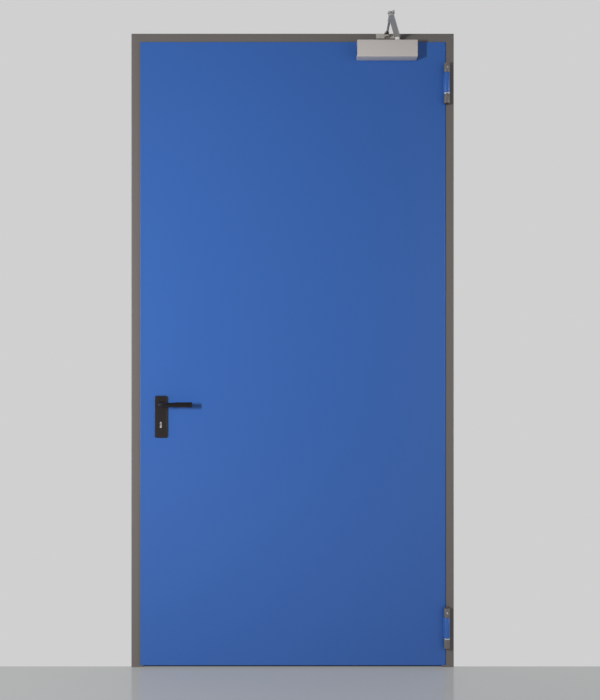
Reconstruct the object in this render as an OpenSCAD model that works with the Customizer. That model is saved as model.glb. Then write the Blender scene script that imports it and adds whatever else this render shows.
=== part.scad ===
// Single-leaf steel fire door in a pressed steel frame, hinged on the right and opened towards the viewer.
// X runs along the wall, Y into it and Z up. The origin is on the hinge jamb's wall flange, at floor level.

/* [Frame] */
// Width over both jambs
frame_w = 1110; // [800:10:1400]
// Height from the floor to the top of the head
frame_h = 2180; // [2000:10:2400]
// Distance that the frame's face stands off the wall
return_d = 12; // [8:1:20]
// Width of the flange that lies on the wall
flange_w = 10; // [8:1:20]
// Width of the frame's face, from its outer edge to the rebate
face_w = 43; // [40:1:48]
// Depth of the rebate that the leaf closes into
rebate_d = 62; // [56:1:80]
// Width of the stop behind the leaf
stop_w = 15; // [12:1:20]
// Depth of the soffit behind the stop
soffit_d = 39; // [20:1:60]
// Width of the frame that laps over the wall's reveal
reveal_lap = 30; // [26:1:32]
// Thickness of the frame's sheet steel
frame_t = 2; // [1.5:0.1:2.5]
// Inner radius of the frame's bends
bend_r = 1.5; // [0.5:0.1:2]
// Width of the seal along the stop
seal_w = 8; // [5:1:10]
// Height of the seal above the stop
seal_h = 5; // [4:0.5:5.5]
// Distance of the outer fixings from the ends of a jamb
fixing_z = 130; // [100:10:150]
// Distance of the inner fixings from the spindle's height
inner_fixing_drop = 135; // [125:5:200]
// Diameter of the fixing holes
fixing_d = 10; // [6:0.5:12]

/* [Leaf] */
// Frame face left showing beside and above the leaf
lip_margin = 31; // [28:1:36]
// Thickness of the folded lip around the leaf
lip_t = 4; // [3:0.5:6]
// Gap between the lip and the frame's face
lip_gap = 2; // [1:0.5:3]
// Gap under the leaf
floor_gap = 8; // [5:1:12]
// Gap between the leaf and the rebate at the hinges
hinge_gap = 4; // [3:0.5:6]
// Gap between the leaf and the rebate at the lock
lock_gap = 8; // [7:0.5:10]
// Gap between the leaf and the rebate at the head
head_gap = 5; // [4:0.5:8]
// Gap between the back of the leaf and the stop
stop_gap = 6; // [6:0.5:10]
// Thickness of the leaf's sheet steel
sheet_t = 1.5; // [1:0.1:2]
// Outer radius of the folds along the back of the leaf
tray_r = 2.5; // [2.2:0.1:4]
// Radius of the lip's edges
lip_r = 1.2; // [0.5:0.1:1.4]

/* [Hinges] */
// Height of the lower hinge's bottom end
lower_hinge_z = 68; // [40:1:200]
// Distance from the frame's top down to the upper hinge's bottom end
upper_hinge_drop = 248; // [230:1:400]
// Diameter of the knuckles
knuckle_d = 20; // [16:1:21]
// Length of each end knuckle
end_knuckle_h = 32; // [25:1:40]
// Length of the middle knuckle
mid_knuckle_h = 69.5; // [50:0.5:80]
// Diameter of the hinge pin
pin_d = 9; // [7:0.5:11]
// Distance from the lip's edge out to the hinge's axis
axis_out = 4; // [3:0.5:6]
// Distance from the leaf's face forward to the hinge's axis
axis_forward = 11; // [11:0.5:14]

/* [Lock] */
// Height of the lever's spindle above the floor
spindle_z = 905; // [900:5:1000]
// Distance from the lip's edge in to the spindle
spindle_in = 73; // [70:1:90]
// Distance from the spindle down to the key
key_drop = 70; // [66:1:78]
// Width of the handle plate
plate_w = 44; // [36:1:50]
// Height of the handle plate
plate_h = 144; // [130:1:200]
// Thickness of the handle plate
plate_t = 8; // [5:0.5:10]
// Height of the plate's middle below the spindle
plate_drop = 43; // [30:1:50]
// Bevel round the handle plate's front
plate_bevel = 3; // [1:0.5:4]
// Length of the lever from its spindle to its tip
lever_l = 112; // [90:1:130]
// Height of the lever's bar
lever_h = 18.5; // [17:0.5:24]
// Height of the lever's slim part, before its grip
lever_waist_h = 14.5; // [12:0.5:16]
// Radius of the lever's bend out of its neck
lever_bend_r = 30; // [24:1:34]
// Thickness of the lever's bar
lever_t = 14; // [10:1:18]
// Distance that the lever's front stands off the leaf
lever_out = 55; // [48:1:65]

/* [Closer] */
// Length of the closer's body
closer_l = 205; // [190:1:240]
// Height of the closer's body
closer_h = 57.5; // [50:0.5:64]
// Distance that the closer stands off the leaf
closer_d = 48; // [42:1:56]
// Distance from the hinge's axis to the near end of the closer
closer_in = 104; // [90:1:140]
// Distance of the closer's top below the leaf's top
closer_drop = 8.5; // [6:0.5:14]
// Distance from the closer's near end to its spindle
closer_spindle_in = 67; // [50:1:80]
// Distance from the hinge's axis to the shoe's pivot
shoe_in = 206; // [203:1:215]
// Distance of the shoe's pivot in front of the frame's face
shoe_out = 24; // [20:1:28]
// Length of the shoe's base
shoe_l = 70; // [66:1:90]
// Distance from the hinge's axis to the elbow, along the wall
elbow_in = 212; // [206:1:218]
// Distance of the elbow in front of the frame's face
elbow_out = 222; // [205:1:240]
// Width of the main arm at its spindle
arm_root_w = 19.5; // [17:0.5:22]
// Width of the main arm at the elbow
arm_tip_w = 11.5; // [10:0.5:14]
// Thickness of the main arm
arm_t = 6; // [4:0.5:6.5]
// Diameter of the forearm's rod
rod_d = 8; // [6:0.5:9]
// Diameter of the forearm's sleeve
sleeve_d = 11.5; // [10:0.5:12]

/* [Hidden] */
$fn = 64;
cut = 1;
pin_fit = 0.1;

frame_grey = "#706d6c";
leaf_blue = "#3a60a1";
bright_steel = "#c4c4c4";
dark_steel = "#3a3838";
zinc = "#a9a9a6";
closer_silver = "#aaa8a5";
rubber_black = "#242424";
handle_black = "#231e23";
wool = "#b9ad8c";

hinge_edge_x = flange_w / 2;
lock_edge_x = hinge_edge_x - frame_w;
face_y = -return_d;
stop_y = face_y + rebate_d;
frame_back_y = stop_y + soffit_d;
soffit_u = face_w + stop_w;
bend_out_r = bend_r + frame_t;
hinge_cheek_x = hinge_edge_x - face_w;
lock_cheek_x = lock_edge_x + face_w;
cheek_top_z = frame_h - face_w;

lip_right_x = hinge_edge_x - lip_margin;
lip_left_x = lock_edge_x + lip_margin;
lip_top_z = frame_h - lip_margin;
lip_back_y = face_y - lip_gap;
leaf_front_y = lip_back_y - lip_t;
leaf_back_y = stop_y - stop_gap;
leaf_mid_y = (leaf_front_y + leaf_back_y) / 2;
body_right_x = hinge_cheek_x - hinge_gap;
body_left_x = lock_cheek_x + lock_gap;
body_top_z = cheek_top_z - head_gap;

upper_hinge_z = frame_h - upper_hinge_drop;
axis_x = lip_right_x + axis_out;
axis_y = leaf_front_y - axis_forward;

cap_h = 3;
washer_h = 3;
play_h = 0.5;
mid_knuckle_z = cap_h + end_knuckle_h + washer_h + play_h;
top_knuckle_z = mid_knuckle_z + mid_knuckle_h + play_h;
hinge_h = top_knuckle_z + end_knuckle_h;

inner_fixing_z = spindle_z - inner_fixing_drop;
fixing_heights = [fixing_z, inner_fixing_z, frame_h - inner_fixing_z, frame_h - fixing_z];
strap_w = 40;
strap_t = 3;
strap_y = [14, 44];
plug_extra = 4;

spindle_x = lip_left_x + spindle_in;
key_z = spindle_z - key_drop;
plate_z = spindle_z - plate_drop;
key_top_r = 2.7;
key_bottom_r = 3.5;
key_rise = 14;
latch_z = spindle_z + 15;
bolt_z = key_z + 10;
neck_d = 16;
neck_fit = 0.3;
spindle_w = 8;
lock_case_size = [95, 16, 175];
lock_case_z = spindle_z - 42;
forend_size = [3, 24, 235];
latch_size = [30, 12, 28];
latch_proud = 2;
latch_bevel = 1.6;
bolt_size = [30, 10, 36];
bolt_proud = 0.5;
strike_clear = [4, 5];
strike_depth = 20;
strike_t = 1.5;

closer_right_x = axis_x - closer_in;
closer_left_x = closer_right_x - closer_l;
closer_top_z = lip_top_z - closer_drop;
closer_bottom_z = closer_top_z - closer_h;
closer_mid_z = (closer_top_z + closer_bottom_z) / 2;
closer_plate_t = 4;
closer_front_y = leaf_front_y - closer_d;
arm_clear = 5.5;
arm_z = lip_top_z + arm_clear;
closer_pivot = [closer_right_x - closer_spindle_in, leaf_front_y - closer_d / 2];
shoe_pivot = [axis_x - shoe_in, face_y - shoe_out];
elbow_pivot = [axis_x - elbow_in, face_y - elbow_out];
closer_spindle_d = 16;
elbow_slit = 1.5;
forearm_z = arm_z + 14.5;
shoe_h = 15;
shoe_t = 5;
shoe_ear_t = 3.5;
eye_d = 15;
eye_h = shoe_h - 2 * shoe_ear_t - 1;
shoe_pin_d = 6;
elbow_d = 22;
elbow_h = 11.5;
elbow_slot = 3;
rod_show = 116;

// A box between two opposite corners
module box(low, high) translate(low) cube(high - low);

// The width and height of a rounded rectangle, centred, with true arcs at its corners
module rounded_rect(w, h, r) {
    square([w - 2 * r, h], center = true);
    square([w, h - 2 * r], center = true);
    for (sx = [-1, 1], sy = [-1, 1]) translate([sx * (w / 2 - r), sy * (h / 2 - r)]) circle(r);
}

// A rounded rectangle between two corners, with true arcs
module rounded_between(low, high, r) translate((low + high) / 2) rounded_rect(high[0] - low[0], high[1] - low[1], r);

// One straight leg of a folded sheet, between two corners
module leg(low, high) translate(low) square(high - low);

// A quarter bend at an outer corner of the folded sheet; side says which way its inside lies
module fold(corner, side) {
    middle = corner + bend_out_r * side;
    low = [min(corner[0], middle[0]), min(corner[1], middle[1])];
    intersection() {
        translate(middle) difference() {
            circle(bend_out_r);
            circle(bend_r);
        }
        translate(low) square(bend_out_r);
    }
}

// The frame's pressed section, leg by leg from the wall flange: u from its outer edge in X, depth in Y
module frame_section() {
    r = bend_out_r;
    t = frame_t;
    leg([r, -t], [flange_w, 0]);
    fold([0, 0], [1, -1]);
    leg([0, face_y + r], [t, -r]);
    fold([0, face_y], [1, 1]);
    leg([r, face_y], [face_w - r, face_y + t]);
    fold([face_w, face_y], [-1, 1]);
    leg([face_w - t, face_y + r], [face_w, stop_y + t - r]);
    fold([face_w - t, stop_y + t], [1, -1]);
    leg([face_w - t + r, stop_y], [soffit_u - r, stop_y + t]);
    fold([soffit_u, stop_y], [-1, 1]);
    leg([soffit_u - t, stop_y + r], [soffit_u, frame_back_y - r]);
    fold([soffit_u, frame_back_y], [-1, -1]);
    leg([reveal_lap, frame_back_y - t], [soffit_u - r, frame_back_y]);
}

// The seal's section on the stop, with a round bulb on a flat foot
module seal_section() {
    bulb_r = seal_h / 2;
    translate([face_w + (stop_w - seal_w) / 2, stop_y - seal_h / 2]) square([seal_w, seal_h / 2]);
    translate([face_w + stop_w / 2, stop_y - seal_h + bulb_r]) circle(bulb_r);
}

// What the mitre takes off a member's end, in the plane of the wall
module mitre_prism(h) {
    reach = soffit_u + cut;
    translate([0, frame_back_y + cut, 0]) rotate([90, 0, 0])
        linear_extrude(frame_back_y + return_d + 2 * cut)
            polygon([[-cut, h + cut], [reach, h - reach], [reach, h + cut]]);
}

// An upright with a section of this frame, mitred at its top
module upright() {
    difference() {
        linear_extrude(frame_h) children();
        mitre_prism(frame_h);
    }
}

// Moves what is built at the lock edge to the hinge edge
module at_hinge_edge() translate([hinge_edge_x, 0, 0]) mirror([1, 0, 0]) children();
module at_lock_edge() translate([lock_edge_x, 0, 0]) children();

// Repeats a fixing up a jamb
module at_fixings() for (z = fixing_heights) translate([0, 0, z]) children();

module fixing_hole(d, from_u, to_u)
    translate([from_u, (strap_y[0] + strap_y[1]) / 2, 0]) rotate([0, 90, 0]) cylinder(h = to_u - from_u, d = d);

module jamb() {
    difference() {
        upright() frame_section();
        at_fixings() fixing_hole(fixing_d + plug_extra, face_w - frame_t - cut, face_w + cut);
    }
}

module hinge_jamb() color(frame_grey) at_hinge_edge() jamb();

module strike_hole(size, z, grow, from_u, to_u)
    box([from_u, leaf_mid_y - size[1] / 2 - strike_clear[0] - grow, z - size[2] / 2 - strike_clear[1] - grow],
        [to_u, leaf_mid_y + size[1] / 2 + strike_clear[0] + grow, z + size[2] / 2 + strike_clear[1] + grow]);

module lock_jamb() color(frame_grey) at_lock_edge() difference() {
    jamb();
    strike_hole(latch_size, latch_z, 0, face_w - frame_t - cut, face_w + cut);
    strike_hole(bolt_size, bolt_z, 0, face_w - frame_t - cut, face_w + cut);
}

module frame_head() color(frame_grey) intersection() {
    translate([lock_edge_x, 0, frame_h]) rotate([0, 90, 0]) linear_extrude(frame_w) frame_section();
    head_keep();
}

// The trapezium between the two mitres
module head_keep() {
    reach = soffit_u + cut;
    translate([0, frame_back_y + cut, 0]) rotate([90, 0, 0])
        linear_extrude(frame_back_y + return_d + 2 * cut)
            polygon([[lock_edge_x - cut, frame_h + cut], [hinge_edge_x + cut, frame_h + cut],
                [hinge_edge_x - reach, frame_h - reach], [lock_edge_x + reach, frame_h - reach]]);
}

// A hat-shaped strap that carries the fixing from the rebate to the wall's reveal
module anchors() color(zinc) at_fixings() difference() {
    back_u = face_w - frame_t;
    translate([0, 0, -strap_w / 2]) linear_extrude(strap_w) polygon([
        [back_u, strap_y[0]], [reveal_lap, strap_y[0]], [reveal_lap, strap_y[1]], [back_u, strap_y[1]],
        [back_u, strap_y[1] - strap_t], [reveal_lap + strap_t, strap_y[1] - strap_t],
        [reveal_lap + strap_t, strap_y[0] + strap_t], [back_u, strap_y[0] + strap_t]
    ]);
    fixing_hole(fixing_d, reveal_lap - cut, reveal_lap + strap_t + cut);
}

module hinge_jamb_anchors() at_hinge_edge() anchors();
module lock_jamb_anchors() at_lock_edge() anchors();

module hinge_jamb_seal() color(rubber_black) at_hinge_edge() upright() seal_section();
module lock_jamb_seal() color(rubber_black) at_lock_edge() upright() seal_section();
module head_seal() color(rubber_black) intersection() {
    translate([lock_edge_x, 0, frame_h]) rotate([0, 90, 0]) linear_extrude(frame_w) seal_section();
    head_keep();
}

module strike_box(size, z) difference() {
    back_u = face_w - frame_t;
    strike_hole(size, z, strike_t, back_u - strike_depth, back_u);
    strike_hole(size, z, 0, back_u - strike_depth + strike_t, back_u + cut);
}

module strike_boxes() color(zinc) at_lock_edge() {
    strike_box(latch_size, latch_z);
    strike_box(bolt_size, bolt_z);
}

// A round knuckle with its bore, from one height to another above the hinge's bottom end
module knuckle(from_z, h, bore_d) translate([axis_x, axis_y, from_z]) difference() {
    cylinder(h = h, d = knuckle_d);
    translate([0, 0, -cut]) cylinder(h = h + 2 * cut, d = bore_d);
}

module frame_knuckles() color(frame_grey) for (from_z = [cap_h, top_knuckle_z]) difference() {
    lug_t = 4.5;
    union() {
        translate([axis_x, axis_y, from_z]) cylinder(h = end_knuckle_h, d = knuckle_d);
        box([axis_x + knuckle_d / 2 - lug_t, axis_y, from_z],
            [axis_x + knuckle_d / 2, face_y, from_z + end_knuckle_h]);
    }
    translate([axis_x, axis_y, from_z - cut]) cylinder(h = end_knuckle_h + 2 * cut, d = pin_d);
    if (from_z > cap_h) translate([axis_x, axis_y - knuckle_d / 2, from_z + end_knuckle_h / 2])
        rotate([90, 0, 0]) cylinder(h = 4, d = 4, center = true);
}

module leaf_knuckle() color(leaf_blue) difference() {
    union() {
        translate([axis_x, axis_y, mid_knuckle_z]) cylinder(h = mid_knuckle_h, d = knuckle_d);
        box([axis_x - knuckle_d / 2, axis_y, mid_knuckle_z], [lip_right_x, leaf_front_y, mid_knuckle_z + mid_knuckle_h]);
    }
    translate([axis_x, axis_y, mid_knuckle_z - cut])
        cylinder(h = mid_knuckle_h + 2 * cut, d = pin_d + 2 * pin_fit);
}

module hinge_pin() color(dark_steel) translate([axis_x, axis_y, 0]) {
    cylinder(h = cap_h, d = knuckle_d - 2);
    cylinder(h = hinge_h - 1, d = pin_d);
}

module hinge_washer() color(bright_steel) knuckle(mid_knuckle_z - play_h - washer_h, washer_h, pin_d);

module upper_hinge_frame_knuckles() translate([0, 0, upper_hinge_z]) frame_knuckles();
module lower_hinge_frame_knuckles() translate([0, 0, lower_hinge_z]) frame_knuckles();
module upper_hinge_pin() translate([0, 0, upper_hinge_z]) hinge_pin();
module lower_hinge_pin() translate([0, 0, lower_hinge_z]) hinge_pin();
module upper_hinge_washer() translate([0, 0, upper_hinge_z]) hinge_washer();
module lower_hinge_washer() translate([0, 0, lower_hinge_z]) hinge_washer();
module upper_hinge_leaf_knuckle() translate([0, 0, upper_hinge_z]) leaf_knuckle();
module lower_hinge_leaf_knuckle() translate([0, 0, lower_hinge_z]) leaf_knuckle();

// The shoe on the frame's head: a base with two ears around the forearm's eye
module closer_shoe() color(zinc) difference() {
    low_z = forearm_z - shoe_h / 2;
    union() {
        box([shoe_pivot[0] - shoe_l / 2, face_y - shoe_t, low_z],
            [shoe_pivot[0] + shoe_l / 2, face_y, low_z + shoe_h]);
        for (z = [low_z, low_z + shoe_h - shoe_ear_t]) {
            translate([shoe_pivot[0], shoe_pivot[1], z]) cylinder(h = shoe_ear_t, d = eye_d);
            box([shoe_pivot[0] - eye_d / 2, shoe_pivot[1], z],
                [shoe_pivot[0] + eye_d / 2, face_y, z + shoe_ear_t]);
        }
    }
    translate([shoe_pivot[0], shoe_pivot[1], low_z - cut]) cylinder(h = shoe_h + 2 * cut, d = shoe_pin_d);
}

module shoe_pin() color(dark_steel) translate([shoe_pivot[0], shoe_pivot[1], forearm_z - shoe_h / 2])
    cylinder(h = shoe_h, d = shoe_pin_d);

// The holes through the leaf for the lever's spindle and the key
module lock_bores(extra) {
    for (z = [spindle_z, key_z]) translate([spindle_x, leaf_front_y - cut, z]) rotate([-90, 0, 0])
        cylinder(h = leaf_back_y - leaf_front_y + 2 * cut, d = neck_d + extra);
}

// A section of the leaf's tray, depth first, folded round at its back corners
module tray_section(y0, y1, from, to, r) {
    translate([y0, from]) square([y1 - r - y0, to - from]);
    translate([y0, from + r]) square([y1 - y0, to - from - 2 * r]);
    for (v = [from + r, to - r]) translate([y1 - r, v]) circle(r);
}

// The leaf's body from one depth to another, inset all round: its plan and its side view in common
module leaf_outline(y0, y1, inset) intersection() {
    low_z = floor_gap + inset;
    high_z = body_top_z - inset;
    translate([0, 0, low_z]) mirror([1, -1, 0]) linear_extrude(high_z - low_z)
        tray_section(y0, y1, body_left_x + inset, body_right_x - inset, tray_r - inset);
    translate([body_left_x, 0, 0]) rotate([90, 0, 90]) linear_extrude(body_right_x - body_left_x)
        tray_section(y0, y1, low_z, high_z, tray_r - inset);
}

// The lip and the front of the leaf, with round edges all the way
module lip_block() intersection() {
    translate([0, 0, floor_gap]) linear_extrude(lip_top_z - floor_gap)
        rounded_between([lip_left_x, leaf_front_y], [lip_right_x, lip_back_y], lip_r);
    translate([lip_left_x, 0, 0]) rotate([90, 0, 90]) linear_extrude(lip_right_x - lip_left_x)
        rounded_between([leaf_front_y, floor_gap], [lip_back_y, lip_top_z], lip_r);
}

module leaf_front_sheet() color(leaf_blue) difference() {
    lip_block();
    box([body_left_x, leaf_front_y + sheet_t, floor_gap - cut], [body_right_x, lip_back_y + cut, body_top_z]);
    lock_bores(0);
}

module forend_space() box(
    [body_left_x - cut, leaf_mid_y - forend_size[1] / 2, lock_case_z - forend_size[2] / 2],
    [body_left_x + forend_size[0], leaf_mid_y + forend_size[1] / 2, lock_case_z + forend_size[2] / 2]);

module leaf_back_sheet() color(leaf_blue) difference() {
    leaf_outline(leaf_front_y + sheet_t, leaf_back_y, 0);
    leaf_outline(leaf_front_y + sheet_t - cut, leaf_back_y - sheet_t, sheet_t);
    lock_bores(0);
    forend_space();
}

module leaf_core() color(wool) difference() {
    leaf_outline(leaf_front_y + sheet_t, leaf_back_y - sheet_t, sheet_t);
    lock_bores(2);
    forend_space();
    lock_case_block();
}

module lock_case_block() box(
    [body_left_x + forend_size[0], leaf_mid_y - lock_case_size[1] / 2, lock_case_z - lock_case_size[2] / 2],
    [body_left_x + forend_size[0] + lock_case_size[0], leaf_mid_y + lock_case_size[1] / 2,
        lock_case_z + lock_case_size[2] / 2]);

// A bolt that slides out of the lock, drawn in
module lock_bolt(size, z, proud) box(
    [body_left_x - proud, leaf_mid_y - size[1] / 2, z - size[2] / 2],
    [body_left_x - proud + size[0], leaf_mid_y + size[1] / 2, z + size[2] / 2]);

module lock_case() color(zinc) difference() {
    lock_case_block();
    lock_bores(-neck_d + 14);
    lock_bolt(latch_size, latch_z, latch_proud);
    lock_bolt(bolt_size, bolt_z, bolt_proud);
}

module lock_forend() color(bright_steel) difference() {
    box([body_left_x, leaf_mid_y - forend_size[1] / 2, lock_case_z - forend_size[2] / 2],
        [body_left_x + forend_size[0], leaf_mid_y + forend_size[1] / 2, lock_case_z + forend_size[2] / 2]);
    lock_bolt(latch_size, latch_z, latch_proud);
    lock_bolt(bolt_size, bolt_z, bolt_proud);
}

// The latch slopes on its back, which meets the frame as the leaf closes
module latch_bolt() color(bright_steel) difference() {
    lock_bolt(latch_size, latch_z, latch_proud);
    nose_x = body_left_x - latch_proud;
    back_y = leaf_mid_y + latch_size[1] / 2;
    translate([0, 0, latch_z - latch_size[2]]) linear_extrude(2 * latch_size[2])
        polygon([[nose_x - cut, back_y - latch_size[1]], [nose_x, back_y - latch_size[1]],
            [nose_x + latch_bevel, back_y], [nose_x + latch_bevel, back_y + cut], [nose_x - cut, back_y + cut]]);
}
module dead_bolt() color(bright_steel) lock_bolt(bolt_size, bolt_z, bolt_proud);

// Copies what is on the front of the leaf to its back
module on_back() translate([0, 2 * leaf_mid_y, 0]) mirror([0, 1, 0]) children();

// The outline of the bright insert around the keyhole, wider at its bottom
module key_insert_outline() {
    square([2 * key_top_r, key_rise], center = true);
    translate([0, key_rise / 2]) circle(key_top_r);
    translate([0, -key_rise / 2]) circle(key_bottom_r);
}

module facing(z) translate([spindle_x, leaf_front_y, z]) rotate([90, 0, 0]) children();

// The handle plate's section across one of its sides, bevelled at the front
module bevelled_section(w) polygon([[-w / 2, 0], [w / 2, 0], [w / 2, plate_t - plate_bevel],
    [w / 2 - plate_bevel, plate_t], [plate_bevel - w / 2, plate_t], [-w / 2, plate_t - plate_bevel]]);

module handle_plate() color(handle_black) difference() {
    facing(plate_z) intersection() {
        linear_extrude(plate_t) rounded_rect(plate_w, plate_h, 7);
        rotate([90, 0, 0]) linear_extrude(plate_h, center = true) bevelled_section(plate_w);
        rotate([90, 0, 90]) linear_extrude(plate_w, center = true) bevelled_section(plate_h);
    }
    facing(spindle_z) translate([0, 0, -cut]) cylinder(h = plate_t + 2 * cut, d = neck_d + 2 * neck_fit);
    facing(key_z) translate([0, 0, -cut]) linear_extrude(plate_t + 2 * cut) key_insert_outline();
}

module key_insert() color(bright_steel) facing(key_z) difference() {
    linear_extrude(plate_t + 0.8) key_insert_outline();
    translate([0, 0, 3]) {
        translate([0, 4, 0]) cylinder(h = plate_t, d = 3);
        translate([-0.8, -6, 0]) cube([1.6, 10, plate_t]);
    }
}

module front_plate() handle_plate();
module back_plate() on_back() handle_plate();
module front_key_insert() key_insert();
module back_key_insert() on_back() key_insert();

// One lever: a round neck, a quarter bend and a bar that slims before it grows into a square-cut grip
module lever() color(handle_black) facing(spindle_z) {
    neck_l = lever_out - neck_d / 2 - lever_bend_r;
    cylinder(h = neck_l, d = neck_d);
    translate([lever_bend_r, 0, neck_l]) rotate([90, 0, 0]) rotate([0, 0, 90])
        rotate_extrude(angle = 90) translate([lever_bend_r, 0]) circle(d = neck_d);
    intersection() {
        translate([lever_bend_r, 0, lever_out - lever_t / 2]) rotate([0, 90, 0])
            linear_extrude(lever_l - lever_bend_r) rounded_rect(lever_t, lever_h, 4);
        linear_extrude(lever_out + cut) lever_outline();
    }
}

// The lever's bar seen from the front
module lever_outline() {
    waist = [lever_bend_r + 8, lever_bend_r + 16];
    grip = lever_bend_r + 28;
    tip_cut = 2;
    for (side = [-1, 1]) polygon([
        [lever_bend_r - cut, 0], [lever_bend_r - cut, side * neck_d / 2], [waist[0], side * lever_waist_h / 2],
        [waist[1], side * lever_waist_h / 2], [grip, side * lever_h / 2], [lever_l - tip_cut, side * lever_h / 2],
        [lever_l, side * (lever_h / 2 - tip_cut)], [lever_l, 0]
    ]);
}

module front_lever() lever();
module back_lever() on_back() lever();
module lever_spindle() color(dark_steel) box(
    [spindle_x - spindle_w / 2, leaf_front_y, spindle_z - spindle_w / 2],
    [spindle_x + spindle_w / 2, leaf_back_y, spindle_z + spindle_w / 2]);

module closer_back_plate() color(zinc) box(
    [closer_left_x + 3, leaf_front_y - closer_plate_t, closer_bottom_z + 2],
    [closer_right_x - 3, leaf_front_y, closer_top_z - 2]);

// The closer's casting, with round recesses in both ends and the bore of its spindle
module closer_body() color(closer_silver) difference() {
    depth = closer_d - closer_plate_t;
    translate([closer_left_x, leaf_front_y - closer_plate_t - depth / 2, closer_mid_z]) rotate([90, 0, 90])
        linear_extrude(closer_l) rounded_rect(depth, closer_h, 4);
    for (x = [closer_left_x, closer_right_x]) closer_end(x, 38, 5);
    translate([closer_pivot[0], closer_pivot[1], closer_top_z - 30])
        cylinder(h = 30 + cut, d = closer_spindle_d + 2 * pin_fit);
}

module closer_end(x, d, reach) translate([x, leaf_front_y - closer_plate_t - (closer_d - closer_plate_t) / 2,
    closer_mid_z]) rotate([0, 90, 0]) cylinder(h = 2 * reach, d = d, center = true);

module closer_end_cap(x, side) color(zinc) intersection() {
    closer_end(x, 38, 5);
    box([x + (side < 0 ? 0 : -5), closer_front_y, closer_bottom_z],
        [x + (side < 0 ? 5 : 0), leaf_front_y, closer_top_z]);
}

module closer_left_cap() closer_end_cap(closer_left_x, -1);
module closer_right_cap() closer_end_cap(closer_right_x, 1);

module closer_spindle() color(bright_steel) translate([closer_pivot[0], closer_pivot[1], closer_top_z - 30])
    cylinder(h = arm_z - closer_top_z + 30, d = closer_spindle_d);

// A flat bar that tapers between two round ends, along X from its first end, its sides just inside both rounds
module tapered_bar(l, r1, r2, t) {
    inset = 0.25;
    cylinder(h = t, r = r1);
    translate([l, 0, 0]) cylinder(h = t, r = r2);
    linear_extrude(t) polygon([[0, inset - r1], [l, inset - r2], [l, r2 - inset], [0, r1 - inset]]);
}

// Turns what lies along X so that it runs from one pivot to another
module between(from, to, z) {
    run = to - from;
    translate([from[0], from[1], z]) rotate([0, 0, atan2(run[1], run[0])]) children();
}

main_arm_l = norm(elbow_pivot - closer_pivot);
forearm_l = norm(elbow_pivot - shoe_pivot);

module main_arm() color(closer_silver) between(closer_pivot, elbow_pivot, arm_z)
    tapered_bar(main_arm_l, arm_root_w / 2, arm_tip_w / 2 + 3, arm_t);

module arm_screw() color(bright_steel) translate([closer_pivot[0], closer_pivot[1], arm_z + arm_t])
    cylinder(h = 4, d = 13);

module forearm_rod() color(dark_steel) between(shoe_pivot, elbow_pivot, forearm_z) difference() {
    union() {
        translate([0, 0, -eye_h / 2]) cylinder(h = eye_h, d = eye_d - 1);
        rotate([0, 90, 0]) cylinder(h = forearm_l - elbow_d / 2 - 20, d = rod_d);
    }
    translate([0, 0, -eye_h]) cylinder(h = 2 * eye_h, d = shoe_pin_d + 2 * pin_fit);
}

module forearm_sleeve() color(closer_silver) between(shoe_pivot, elbow_pivot, forearm_z) difference() {
    translate([rod_show, 0, 0]) rotate([0, 90, 0]) cylinder(h = forearm_l - elbow_d / 2 - rod_show, d = sleeve_d);
    rotate([0, 90, 0]) cylinder(h = forearm_l - elbow_d / 2 - 20, d = rod_d);
}

// The elbow's upper half, forked towards its front, which closes on the main arm's end with a thin slit between them
module elbow_joint() color(closer_silver) between(shoe_pivot, elbow_pivot, arm_z + arm_t + elbow_slit) difference() {
    translate([forearm_l, 0, 0]) cylinder(h = elbow_h, d = elbow_d);
    box([0, -elbow_d, -cut], [forearm_l - elbow_d / 2, elbow_d, elbow_h + cut]);
    box([forearm_l - elbow_slot / 2, -elbow_slot / 2, -cut], [forearm_l + elbow_d, elbow_slot / 2, elbow_h + cut]);
}

hinge_jamb();
lock_jamb();
frame_head();
hinge_jamb_anchors();
lock_jamb_anchors();
hinge_jamb_seal();
lock_jamb_seal();
head_seal();
strike_boxes();
upper_hinge_frame_knuckles();
lower_hinge_frame_knuckles();
upper_hinge_pin();
lower_hinge_pin();
upper_hinge_washer();
lower_hinge_washer();
closer_shoe();
shoe_pin();
leaf_front_sheet();
leaf_back_sheet();
leaf_core();
lock_case();
lock_forend();
latch_bolt();
dead_bolt();
front_plate();
back_plate();
front_key_insert();
back_key_insert();
upper_hinge_leaf_knuckle();
lower_hinge_leaf_knuckle();
closer_back_plate();
closer_body();
closer_left_cap();
closer_right_cap();
front_lever();
back_lever();
lever_spindle();
closer_spindle();
main_arm();
arm_screw();
forearm_rod();
forearm_sleeve();
elbow_joint();
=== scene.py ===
"""The looks of a single-leaf steel fire door in its pressed steel frame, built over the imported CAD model.

Metres throughout, in the part's own frame: X along the wall, Y into it, Z up, floor at 0.
"""

import math

import bmesh
import bpy
from mathutils import Matrix, Vector


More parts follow.
